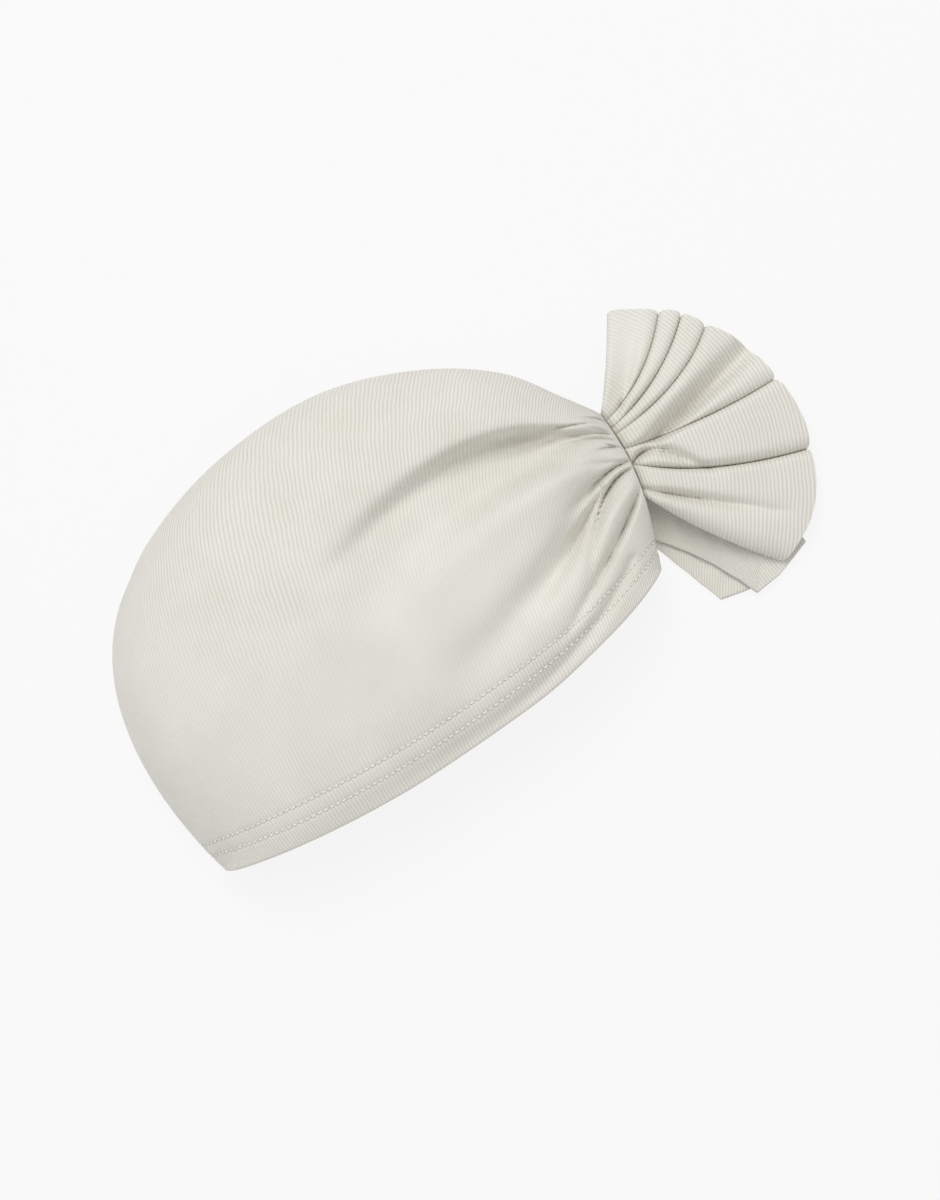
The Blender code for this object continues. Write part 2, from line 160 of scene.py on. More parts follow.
# Lower layers of the fan
FAN_LAYER = 1.6
BACK_ROOT_HEIGHT = 7.5
BACK_DROP = 9.0
BACK_RISE_START = 0.65
LAYER_RIPPLE = 0.15
LAYER_RIPPLE_LENGTH = 11.0

# Knit and thread: the sizes of their patterns, and shares of the ribs' height, of the painted shade in the
# grooves between the ribs, and of the random cloudy tone
WANDER_SIZE = 11.1
WANDER_WIDTH = 1.2
FUZZ_SIZE = 0.625
CLOUD_SIZE = 26.3
TWIST_SIZE = 1.11
CREST_START = 0.36
COURSE_SLANT = 0.9
COURSE_RELIEF = 0.35
FUZZ_RELIEF = 0.35
PAINTED_GROOVE_SHADE = 0.75
CLOUD_TINT = 0.4

# Where the ribs lie flatter, because the cloth is stretched: the middle and size of each area, and the share
# that is lost there
RIB_STRENGTH = 1.05
Fade = namedtuple("Fade", "name x y half_length half_height share")
RIB_FADES = (
    Fade("fullest", 108.0, 30.0, 68.0, 34.0, 0.88),
    Fade("back", 22.0, 50.0, 36.0, 50.0, 0.6),
    Fade("first_panel", 231.0, 72.0, 14.0, 16.0, 0.7),
)

# Steps of the grids
CAP_COLUMNS = 112
FRONT_CROWDING = 0.14
CAP_ROWS = 164
EVEN_ROWS = 0.5
HEM_ROWS = 28
ROLL_ROWS = 5
TURNING_ROWS = 7
DASH_RINGS = 9
DASH_SIDES = 6
SEAM_RINGS = 160
SEAM_SIDES = 32
FAN_STEPS = 20
FAN_ROWS = 110
LAYER_STEPS = 14
FAN_HEM_ROWS = 20
FAN_BACK_ROWS = 40
CURVE_POINTS = 24
ROOT_POINTS = 60

# Lines up the cap, from its folded back at 0 to the gather at 1: where each leaves the hem, how it leans
# there in degrees, where it meets the top fold, and the handle that shapes the shoulder below that
Section = namedtuple("Section", "share hem_x hem_y lean top_x top_y shoulder_x shoulder_y")
SECTIONS = (
    Section(0.00, 0.0, 0.0, 102.0, 28.9, 107.1, -6.5, 85.0),
    Section(0.10, 14.9, -4.1, 94.0, 44.8, 116.3, 14.4, 90.2),
    Section(0.24, 40.7, -9.5, 88.0, 79.3, 126.1, 51.7, 104.7),
    Section(0.40, 75.2, -13.4, 86.0, 125.4, 126.3, 100.8, 97.5),
    Section(0.56, 110.4, -14.1, 85.5, 164.4, 111.6, 137.4, 85.3),
    Section(0.70, 140.7, -12.8, 84.0, 189.6, 92.2, 165.9, 74.4),
    Section(0.82, 166.3, -9.2, 79.0, 202.0, 73.1, 184.6, 59.1),
    Section(0.92, 183.0, -5.2, 72.0, 207.4, 63.9, 200.9, 52.2),
    Section(1.00, 195.2, -1.2, 65.5, 209.7, 59.6, 209.9, 43.6),
)

# Folds that run out from the gather: how deep they are, how wide to the left and right of their run, from
# soft at 0 to creased at 1, and the share of the depth at the start. A ridge has a depth below nothing
Fold = namedtuple("Fold", "name start_x start_y bend_x bend_y end_x end_y depth left right crease rooted")
CAP_FOLDS = (
    Fold("main", 203.6, 50.8, 168.8, 91.4, 90.2, 64.2, 19.0, 26.0, 5.0, 0.0, 0.1),
    Fold("main_low", 196.7, 47.4, 164.2, 72.0, 88.8, 48.1, 6.0, 9.0, 9.0, 0.0, 0.0),
    Fold("main_edge", 206.0, 58.1, 184.9, 69.3, 151.7, 79.9, 4.8, 3.0, 1.4, 0.7, 0.4),
    Fold("main_ridge", 204.1, 45.0, 172.8, 58.4, 109.2, 41.8, -4.0, 11.0, 9.0, 0.0, 0.3),
    Fold("below_ridge", 191.7, 33.8, 168.7, 22.8, 103.3, 7.6, 9.0, 9.0, 9.0, 0.0, 0.35),
    Fold("lip", 209.4, 55.3, 207.3, 61.3, 197.2, 64.3, 3.0, 2.0, 1.2, 0.5, 1.0),
    Fold("lip_ridge", 207.6, 53.9, 204.0, 60.4, 194.2, 63.2, -2.2, 2.0, 2.0, 0.0, 0.8),
    Fold("tube", 208.0, 51.3, 198.1, 61.0, 167.9, 67.6, 3.2, 2.0, 1.4, 0.5, 0.6),
    Fold("tube_low", 207.9, 48.6, 198.9, 59.5, 167.4, 59.8, 2.8, 2.2, 1.6, 0.4, 0.6),
    Fold("slit", 206.7, 46.8, 203.7, 48.4, 197.6, 50.0, 3.0, 2.2, 1.3, 0.7, 1.0),
    Fold("fine", 208.2, 39.9, 198.7, 43.8, 182.9, 54.8, 1.6, 2.5, 1.8, 0.3, 0.8),
    Fold("second", 209.7, 38.8, 200.1, 43.3, 173.9, 35.4, 8.0, 3.0, 2.0, 0.6, 0.7),
    Fold("second_end", 199.6, 40.0, 187.5, 39.4, 156.1, 24.9, 7.0, 2.5, 9.0, 0.3, 0.2),
    Fold("third", 208.8, 36.3, 192.9, 42.0, 166.4, 7.3, 12.0, 4.0, 2.4, 0.6, 0.5),
    Fold("third_end", 193.8, 36.8, 181.5, 29.6, 145.0, 12.3, 9.0, 3.0, 5.0, 0.3, 0.5),
    Fold("crest", 208.5, 32.0, 190.4, 29.3, 162.9, 8.8, -2.5, 4.0, 4.0, 0.0, 0.3),
    Fold("front", 208.7, 30.9, 191.1, 17.5, 147.0, -1.7, 9.0, 2.4, 2.8, 0.4, 0.6),
    Fold("hem_groove", 188.1, 9.2, 140.8, -20.9, 44.3, -5.7, 3.0, 5.0, 4.5, 0.0, 0.8),
)

# Low waves of cloth that lies loosely: their lengths along X and Y, where they start, and their height
Wave = namedtuple("Wave", "name length_x length_y start height")
CAP_WAVES = (
    Wave("long", 95.0, 140.0, 0.4, 0.45),
    Wave("slanted", 52.0, -60.0, 0.1, 0.3),
    Wave("short", -31.0, 44.0, 0.7, 0.14),
)

# Creases of the fan's front layer, from its first edge to its fold: how far up the gather each starts, where
# it bends, where it meets the rim, its depth, and how far the cloth curves down into it on either side. A row
# without depth only guides the plan
Pleat = namedtuple("Pleat", "root bend_x bend_y rim_x rim_y depth left right")
FAN_PLEATS = (
    Pleat(1.00, 221.0, 71.1, 234.8, 90.3, 4.0, 3.0, 3.0),
    Pleat(0.93, 232.4, 60.4, 250.6, 79.3, 5.0, 5.0, 3.0),
    Pleat(0.86, 235.6, 55.9, 256.9, 73.5, 5.0, 4.0, 3.0),
    Pleat(0.80, 242.2, 50.4, 261.9, 65.1, 4.5, 4.0, 5.0),
    Pleat(0.73, 242.3, 43.6, 268.7, 52.2, 0.0, 1.0, 1.0),
    Pleat(0.67, 240.7, 34.8, 272.3, 33.4, 6.0, 6.0, 4.0),
    Pleat(0.61, 235.2, 28.2, 271.7, 17.1, 0.0, 1.0, 1.0),
    Pleat(0.55, 228.5, 18.0, 267.5, 4.7, 8.0, 6.0, 4.0),
    Pleat(0.48, 223.3, 14.4, 260.9, -7.9, 0.0, 1.0, 1.0),
    Pleat(0.42, 222.7, 5.8, 251.0, -17.6, 0.0, 1.0, 1.0),
    Pleat(0.33, 216.2, 0.4, 235.5, -24.9, 8.0, 9.0, 3.0),
)
# Loose folds that cross the pleats
FAN_FOLDS = (
    Fold("panel", 210.6, 53.1, 229.2, 65.4, 246.2, 87.8, 5.0, 9.0, 2.6, 0.2, 0.3),
    Fold("broad", 213.0, 39.7, 241.9, 42.9, 314.0, 55.6, 14.0, 6.5, 4.5, 0.0, 0.2),
    Fold("root", 211.6, 42.9, 222.4, 42.1, 240.3, 38.6, 1.2, 2.5, 2.5, 0.3, 1.0),
    Fold("pocket", 209.8, 38.3, 220.9, 43.2, 230.9, 22.6, 7.0, 2.0, 4.0, 0.5, 1.0),
    Fold("pocket_end", 221.3, 34.8, 228.7, 26.0, 235.8, 12.9, 4.5, 2.0, 4.0, 0.4, 0.7),
    Fold("low", 206.5, 28.4, 219.6, 15.6, 249.6, -12.6, 8.0, 3.0, 3.5, 0.5, 0.35),
)

# Lines of the fan's back layer: how far up the gather each starts, and where it meets the rim
BackLine = namedtuple("BackLine", "root rim_x rim_y")
BACK_LINES = (
    BackLine(0.97, 231.4, 82.8),
    BackLine(0.90, 245.8, 73.6),
    BackLine(0.80, 256.9, 60.4),
    BackLine(0.70, 265.2, 34.3),
    BackLine(0.60, 262.3, 6.9),
    BackLine(0.52, 249.1, -13.2),
    BackLine(0.46, 232.3, -26.3),
    BackLine(0.42, 218.4, -25.5),
    BackLine(0.39, 208.1, -22.8),
    BackLine(0.34, 198.8, 8.7),
)

# Lines across the fan's turned hem: its inner end, under the front layer, and its outer edge
HemLine = namedtuple("HemLine", "inner_x inner_y outer_x outer_y")
FAN_HEM_LINES = (
    HemLine(206.8, 27.0, 198.4, 12.6),
    HemLine(215.5, 16.0, 206.0, 2.2),
    HemLine(221.9, 2.7, 212.5, -8.8),
    HemLine(230.2, -6.7, 217.4, -19.9),
    HemLine(236.0, -11.2, 220.5, -28.3),
    HemLine(241.8, -15.3, 231.5, -27.5),
    HemLine(246.2, -19.3, 246.3, -23.0),
)


def smooth_between(stations, values, at):
    """Values at any place between the rows of a table, on cubic curves through the rows.

    Each curve passes a row at the mean of the slopes on either side, where the nearer row's counts more.
    """
    stations = np.asarray(stations, float)
    values = np.asarray(values, float)
    steps = np.diff(stations)[:, None]
    slopes = np.diff(values, axis=0) / steps
    share = steps[:-1] / (steps[:-1] + steps[1:])
    middle = slopes[:-1] * (1 - share) + slopes[1:] * share
    tangents = np.vstack((slopes[:1], middle, slopes[-1:]))
    row = np.clip(np.searchsorted(stations, at) - 1, 0, len(stations) - 2)
    step = steps[row]
    t = (at - stations[row])[:, None] / step
    start = (2 * t ** 3 - 3 * t ** 2 + 1) * values[row] + (t ** 3 - 2 * t ** 2 + t) * step * tangents[row]
    end = (3 * t ** 2 - 2 * t ** 3) * values[row + 1] + (t ** 3 - t ** 2) * step * tangents[row + 1]
    return start + end


def at_places(values, places):
    """Rows of an array at places between its rows."""
    low = np.floor(places).astype(int)
    high = np.minimum(low + 1, len(values) - 1)
    share = (places - low)[:, None]
    return values[low] * (1 - share) + values[high] * share


def smooth_step(share):
    """A share from 0 to 1 that starts and ends gently."""
    share = np.clip(share, 0.0, 1.0)
    return share * share * (3.0 - 2.0 * share)


def dome(share):
    """A quarter round: upright at 0, level at 1 and beyond."""
    return np.sqrt(1.0 - (1.0 - np.clip(share, 0.0, 1.0)) ** 2)


def crowded(count):
    """Shares from 0 to 1 that crowd towards both ends, where the cloth turns over."""
    return (1.0 - np.cos(np.pi * np.arange(count + 1) / count)) / 2.0


def length_along(grid, axis):
    """Length of a grid's lines in millimetres, up to each of their points."""
    steps = np.linalg.norm(np.diff(grid, axis=axis), axis=-1)
    start = np.zeros_like(steps.take([0], axis=axis))
    return np.concatenate((start, np.cumsum(steps, axis=axis)), axis=axis)


def even_places(line, step):
    """Points at an even step along a line of points, as numbers of the line's points."""
    length = length_along(line, 0)
    places = np.arange(step, length[-1] - step, step)
    return np.interp(places, length, np.arange(len(line)))


def cap_columns():
    """Shares across the cap: close together at both folded edges, and closer towards the front.

    They are even steps of a half turn's cosine, moved on by a sine hump that leans towards the gather, where
    the folds run together.
    """
    count = np.arange(CAP_COLUMNS + 1) / CAP_COLUMNS
    hump = np.sin(np.pi * count) ** 2 * np.sin(np.pi * count / 2)
    return crowded(CAP_COLUMNS) + FRONT_CROWDING * hump


def edge_distance(x, y, line):
    """Distance in plan from a folded edge, smooth away from it and exact beside a straight edge.

    Each stretch of the edge adds the sum of 1 / distance cubed along it, and a straight edge sums to
    2 / distance squared.
    """
    total = np.zeros_like(x)
    for start, end in zip(line[:-1], line[1:]):
        length = np.hypot(*(end - start))
        if length == 0.0:
            continue
        along_x, along_y = (end - start) / length
        run = (x - start[0]) * along_x + (y - start[1]) * along_y
        off = np.maximum(((x - start[0]) * along_y - (y - start[1]) * along_x) ** 2, ON_LINE)
        ahead = length - run
        total += (ahead / np.sqrt(off + ahead ** 2) + run / np.sqrt(off + run ** 2)) / off
    return np.sqrt(2.0 / np.maximum(total, TINY))


def fold_depth(x, y, fold):
    """Depth of a fold whose middle runs on a bent line in plan.

    The section is a blend of a bell and of two quarter rounds that meet in a crease, as wide as stated to the
    left and right of the run, and narrower by FOLD_ROOT_SHARE at the start. The depth grows from its share at
    the start, and falls to nothing at the end.
    """
    t = np.linspace(0.0, 1.0, CURVE_POINTS)[:, None]
    start = np.array((fold.start_x, fold.start_y))
    bend = np.array((fold.bend_x, fold.bend_y))
    end = np.array((fold.end_x, fold.end_y))
    line = start * (1 - t) ** 2 + 2 * bend * t * (1 - t) + end * t ** 2
    best = np.full(x.shape, np.inf)
    share = np.zeros(x.shape)
    side = np.zeros(x.shape)
    for i in range(CURVE_POINTS - 1):
        run = line[i + 1] - line[i]
        off_x = x - line[i, 0]
        off_y = y - line[i, 1]
        place = np.clip((off_x * run[0] + off_y * run[1]) / (run @ run), 0.0, 1.0)
        distance = np.hypot(off_x - place * run[0], off_y - place * run[1])
        nearer = distance < best
        best = np.where(nearer, distance, best)
        share = np.where(nearer, (i + place) / (CURVE_POINTS - 1), share)
        side = np.where(nearer, run[0] * off_y - run[1] * off_x, side)
    width = np.where(side > 0, fold.left, fold.right) * (FOLD_ROOT_SHARE + (1 - FOLD_ROOT_SHARE) * share)
    bell = np.exp(-(best / width) ** 2)
    sharp = 1 - dome(best / width)
    grown = fold.rooted + (1 - fold.rooted) * smooth_step(share / FOLD_GROWN)
    return fold.depth * grown * (bell * (1 - fold.crease) + sharp * fold.crease) * (1 - share ** 2)


def cap_plan(across, up):
    """Plan of the cap: a cubic curve for each share across, from the hem to the top fold.

    Its handle at the hem is HEM_HANDLE long, and leans as the section states.
    """
    shares = [row.share for row in SECTIONS]
    table = []
    for row in SECTIONS:
        lean = np.radians(row.lean)
        side_x = row.hem_x + HEM_HANDLE * np.cos(lean)
        side_y = row.hem_y + HEM_HANDLE * np.sin(lean)
        table.append((row.hem_x, row.hem_y, side_x, side_y,
                      row.shoulder_x, row.shoulder_y, row.top_x, row.top_y))
    points = smooth_between(shares, table, across).reshape(-1, 4, 1, 2)
    r = up[None, :, None]
    return (points[:, 0] * (1 - r) ** 3 + 3 * points[:, 1] * r * (1 - r) ** 2
            + 3 * points[:, 2] * r ** 2 * (1 - r) + points[:, 3] * r ** 3)


def pattern_shift():
    """Metres from the pattern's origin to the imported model's, from the cap's back and top."""
    edge = np.linspace(0.0, 1.0, EDGE_POINTS)
    back = cap_plan(np.zeros(1), edge)[0, :, 0].min()
    top = cap_plan(edge, np.ones(1))[:, 0, 1].max()
    return np.array((CAP_LOW_X - back * MM, CAP_HIGH_Y - top * MM, 0.0))


def to_hat(points):
    """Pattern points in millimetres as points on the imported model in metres."""
    return points * MM + pattern_shift()


def hem_share(distance):
    """Share up the cap at this distance from the hem, where a cubic curve moves at three times its handle."""
    return distance / (3 * HEM_HANDLE)


def unit(vectors):
    """Vectors of length 1."""
    return vectors / np.maximum(np.linalg.norm(vectors, axis=-1, keepdims=True), TINY)


def hem_rows():
    """Distances from the hem's edge to the rows of the hem's zone."""
    return np.linspace(HEM_WALL / 2, HEM_ZONE, HEM_ROWS)


def cap_rows():
    """Shares up the cap: even over the hem's zone, and closer together towards the top fold."""
    top = hem_share(HEM_ZONE)
    count = np.arange(1, CAP_ROWS + 1) / CAP_ROWS
    above = top + (1 - top) * (count * EVEN_ROWS + np.sin(np.pi / 2 * count) * (1 - EVEN_ROWS))
    return np.concatenate((hem_share(hem_rows()), above))


def cap_skin(across, up):
    """Outer skin of the cap's near and far side, as grids that share their folded edges.

    The near side rises from the edge by a quarter round, less where it is pinched beside the gather and where
    it sags at the hem, and its folds and waves are taken off. The far side drops from the edge by a quarter
    round and lies flat. Beside the gather both are lifted.
    """
    plan = cap_plan(across, up)
    x = plan[..., 0]
    y = plan[..., 1]
    folded_edge = np.concatenate((plan[0], plan[1:-1, -1], plan[-1, ::-1]))
    distance = edge_distance(x, y, folded_edge)
    distance[0] = 0.0
    distance[-1] = 0.0
    distance[:, -1] = 0.0

    rise = CAP_RISE * dome(distance / CAP_REACH)
    gather = cap_plan(np.ones(1), np.array([(1 + GATHER_START) / 2]))[0, 0]
    pinch = 1 - PINCH_SHARE * np.exp(-np.hypot(x - gather[0], y - gather[1]) / PINCH_REACH)
    sag = 1 - HEM_SAG * (1 - up[None, :]) ** 3
    folds = sum(fold_depth(x, y, fold) for fold in CAP_FOLDS)
    folds += sum(wave.height * (1 + np.sin(2 * np.pi * (x / wave.length_x + y / wave.length_y + wave.start)))
                 for wave in CAP_WAVES)
    taper = 1 - np.exp(-distance / FOLD_TAPER)
    near = np.stack((x, y, EDGE_HEIGHT + rise * pinch * sag - folds * taper), axis=-1)

    front = cap_plan(np.ones(1), np.linspace(GATHER_START, 1.0, ROOT_POINTS))[0]
    from_gather = np.full(x.shape, np.inf)
    for point in front:
        from_gather = np.minimum(from_gather, np.hypot(x - point[0], y - point[1]))
    lift = GATHER_LIFT * np.exp(-(from_gather / GATHER_LIFT_REACH) ** 2)
    near[..., 2] += lift

    lie = dome(distance / FLAT_REACH)
    inset = FAR_HEM_INSET * lie * (1 - up[None, :]) ** 3
    far = np.stack((x, y + inset, (EDGE_HEIGHT + lift) * (1 - lie)), axis=-1)
    return near, far


def cap_normals(near, far):
    """Outward directions of the near and far skin, which agree along their shared edges."""
    near_out = unit(np.cross(np.gradient(near, axis=0), np.gradient(near, axis=1)))
    far_out = -unit(np.cross(np.gradient(far, axis=0), np.gradient(far, axis=1)))
    for edge in (0, -1):
        shared = unit(near_out[edge] + far_out[edge])
        near_out[edge] = shared
        far_out[edge] = shared
    return near_out, far_out


def hem_relief(skin, out, up):
    """The skin with its stitch grooves, and the puckers that the stitches pull up between them."""
    distance = up * 3 * HEM_HANDLE
    groove = sum(np.exp(-((distance - row) / GROOVE_WIDTH) ** 2) for row in STITCH_ROWS)
    middle = sum(STITCH_ROWS) / 2
    pucker = np.sin(2 * np.pi * length_along(skin, 0) / PUCKER_LENGTH)
    pucker *= np.exp(-((distance - middle) / PUCKER_REACH) ** 2)
    return skin + out * (PUCKER_HEIGHT * pucker - STITCH_GROOVE * groove)[..., None]


def with_turned_hem(skin, out, rows):
    """The sheet with its hem turned in: up the inside, round the edge, then the skin itself."""
    turning = skin[:, rows[::-1]] - out[:, rows[::-1]] * HEM_WALL
    first = skin[:, :1]
    down = unit(skin[:, :1] - skin[:, 1:2])
    angle = np.linspace(np.pi, 0.0, ROLL_ROWS + 2)[None, 1:-1, None]
    roll = first - out[:, :1] * HEM_WALL / 2 * (1 - np.cos(angle)) + down * HEM_WALL / 2 * np.sin(angle)
    return np.concatenate((turning, roll, skin), axis=1)


def grid_faces(index):
    """Four-sided faces of a grid of point numbers, in the grid's own order."""
    corners = (index[:-1, :-1], index[1:, :-1], index[1:, 1:], index[:-1, 1:])
    return np.stack([corner.ravel() for corner in corners], axis=-1)


def rib_relief(points):
    """How far the ribs stand out: RIB_STRENGTH, less a bell in plan around each place where they are flat."""
    relief = np.full(len(points), RIB_STRENGTH)
    for fade in RIB_FADES:
        off_x = (points[:, 0] - fade.x) / fade.half_length
        off_y = (points[:, 1] - fade.y) / fade.half_height
        relief *= 1 - fade.share * np.exp(-off_x ** 2 - off_y ** 2)
    return relief


def make_mesh(name, points, faces, material, uv=None):
    """A smooth piece from pattern points, four-sided faces and a place on the cloth for each point."""
    if not np.isfinite(points).all():
        raise ValueError(f"{name} has a point with no place")
    mesh = bpy.data.meshes.new(name)
    mesh.from_pydata(to_hat(points).tolist(), [], faces.tolist())
    if uv is not None:
        corners = np.empty(len(mesh.loops), dtype=np.int32)
        mesh.loops.foreach_get("vertex_index", corners)
        layer = mesh.uv_layers.new(name="cloth")
        layer.data.foreach_set("uv", uv[corners].astype(np.float32).ravel())
        relief = mesh.attributes.new("relief", "FLOAT", "POINT")
        relief.data.foreach_set("value", rib_relief(points).astype(np.float32))
    mesh.shade_smooth()
    mesh.materials.append(material)
    piece = bpy.data.objects.new(name, mesh)
    bpy.context.scene.collection.objects.link(piece)
    return piece


def thicken(piece, wall):
    """Give a sheet its thickness in metres, inwards from its skin."""
    modifier = piece.modifiers.new("Cloth", "SOLIDIFY")
    modifier.thickness = wall
    modifier.offset = -1.0
    modifier.use_even_offset = False
    modifier.use_quality_normals = True


def make_sheet(name, grid, across, along, material, wall):
    """A sheet of cloth from the grid of its upper skin, with its places across and along the ribs."""
    index = np.arange(across.size).reshape(across.shape)
    uv = np.stack((across, along), axis=-1).reshape(-1, 2) / DECIMETRE
    piece = make_mesh(name, grid.reshape(-1, 3), grid_faces(index), material, uv)
    thicken(piece, wall)
    return piece


def cloth_place(grid, across):
    """Place on the cap's flat cloth in decimetres: a share of the hem's length, and the way up the skin."""
    along = length_along(grid, 1)
    over = np.broadcast_to((across * HEM_LENGTH)[:, None], along.shape)
    return np.stack((over, along), axis=-1) / DECIMETRE


def srgb(code):
    """Linear colour of an sRGB hex value."""
    channels = np.array([int(code[i:i + 2], 16) for i in (1, 3, 5)]) / 255.0
    linear = np.where(channels <= 0.04045, channels / 12.92, ((channels + 0.055) / 1.055) ** 2.4)
    return tuple(float(channel) for channel in linear)


def gather_line(places, offset):
    """Points beside the gather, at shares up the cap's front column, and offset outwards from it."""
    places = np.asarray(places, float)
    step = 0.01
    line = cap_plan(np.ones(1), places)[0]
    ahead = cap_plan(np.ones(1), places + step)[0]
    run = unit(ahead - line)
    return line + np.stack((run[:, 1], -run[:, 0]), axis=-1) * offset


def fan_root(places):
    """Where the fan's back layer leaves the gather's seam."""
    return gather_line(places, GAP + SEAM_WIDTH + BUTT_GAP)


def back_height(x, y):
    """Height of the back layer's upper side: it drops from the gather and then lies flat."""
    root = fan_root(np.linspace(BACK_RISE_START, 1.0, ROOT_POINTS))
    distance = np.hypot(x[..., None] - root[:, 0], y[..., None] - root[:, 1]).min(axis=-1)
    return FAN_LAYER + (BACK_ROOT_HEIGHT - FAN_LAYER) * (1 - smooth_step(distance / BACK_DROP))


def fan_front_skin():
    """Upper skin of the fan's front layer, from one edge to the other and from the root to the rim.

    A panel of cloth stands between each two creases. It curves down into both of them by quarter rounds, and
    its crest falls from the gather towards the rim.
    """
    panels = len(FAN_PLEATS) - 1
    rows = np.arange(panels + 1)
    across = np.append((np.arange(panels)[:, None] + crowded(FAN_STEPS)[None, :-1]).ravel(), panels)
    table = [(pleat.root, pleat.bend_x, pleat.bend_y, pleat.rim_x, pleat.rim_y) for pleat in FAN_PLEATS]
    creased = np.array([row for row in rows if FAN_PLEATS[row].depth > 0])

    def lines_at(stations):
        """Plan of the lines from root to rim at these places across, and how far out each point lies."""
        lines = smooth_between(rows, table, stations)
        root = gather_line(lines[:, 0], ROOT_GAP)[:, None]
        t = (np.sin(np.pi / 2 * np.arange(FAN_ROWS + 1) / FAN_ROWS))[None, :, None]
        off = np.abs(stations[:, None] - creased[None, :]).min(axis=1)
        notch = FAN_NOTCH * np.exp(-off / NOTCH_SHARE)[:, None]
        rim = lines[:, 3:5] - unit(lines[:, 3:5] - lines[:, 1:3]) * notch
        return root * (1 - t) ** 2 + 2 * lines[:, None, 1:3] * t * (1 - t) + rim[:, None] * t ** 2, t[..., 0]

    plan, out = lines_at(across)
    creases, _ = lines_at(rows.astype(float))
    panel = np.minimum(across.astype(int), panels - 1)
    reach_share = PLEAT_ROOT_SHARE + (1 - PLEAT_ROOT_SHARE) * out
    depth_share = PLEAT_ROOT_DEPTH + (1 - PLEAT_ROOT_DEPTH) * smooth_step(out / FAN_ROOT_BLEND)
    depth_share = depth_share * (1 - (1 - PLEAT_RIM_SHARE) * out ** 2)
    drop = np.zeros(plan.shape[:2])
    before = np.array([creased[creased <= row].max() for row in panel])
    behind = np.array([creased[creased > row].min() for row in panel])
    for nearest, width in ((before, "right"), (behind, "left")):
        depth = np.array([pleat.depth for pleat in FAN_PLEATS])[nearest][:, None]
        reach = np.array([getattr(pleat, width) for pleat in FAN_PLEATS])[nearest][:, None]
        distance = np.linalg.norm(plan - creases[nearest], axis=-1)
        drop += depth * depth_share * (1 - dome(distance / (reach * reach_share)))
    drop += sum(fold_depth(plan[..., 0], plan[..., 1], fold) for fold in FAN_FOLDS)
    crest = FAN_RIM_CREST + (FAN_ROOT_CREST - FAN_RIM_CREST) * (1 - out ** FAN_FALL)
    root_fall = FAN_ROOT_LIP * np.exp(-out / FAN_ROOT_ROUND)
    return np.concatenate((plan, (crest - root_fall - drop)[..., None]), axis=-1)


def layer_sheet(table, rows):
    """Grid between two lines of points, straight from row to row of the table."""
    across = np.linspace(0, len(table) - 1, (len(table) - 1) * LAYER_STEPS + 1)
    lines = at_places(np.array(table), across)
    out = np.linspace(0.0, 1.0, rows + 1)[None, :, None]
    return lines[:, None, :2] * (1 - out) + lines[:, None, 2:] * out


def add_node(tree, kind, settings=None, links=None):
    """A shader node with its settings, and with links into its inputs.

    A link comes from an output, or from a node, which stands for its first output.
    """
    node = tree.nodes.new("ShaderNode" + kind)
    for name, value in (settings or {}).items():
        if isinstance(name, str) and hasattr(node, name):
            setattr(node, name, value)
        else:
            node.inputs[name].default_value = value
    for name, source in (links or {}).items():
        output = source.outputs[0] if isinstance(source, bpy.types.Node) else source
        tree.links.new(output, node.inputs[name])
    return node


def empty_material(name):
    """A new material and its empty tree of nodes."""
    material = bpy.data.materials.new(name)
    material.use_nodes = True
    material.node_tree.nodes.clear()
    return material, material.node_tree


def scale_of(size):
    """Scale of a pattern on Object coordinates that repeats about once in this many millimetres."""
    return 1.0 / (size * MM)


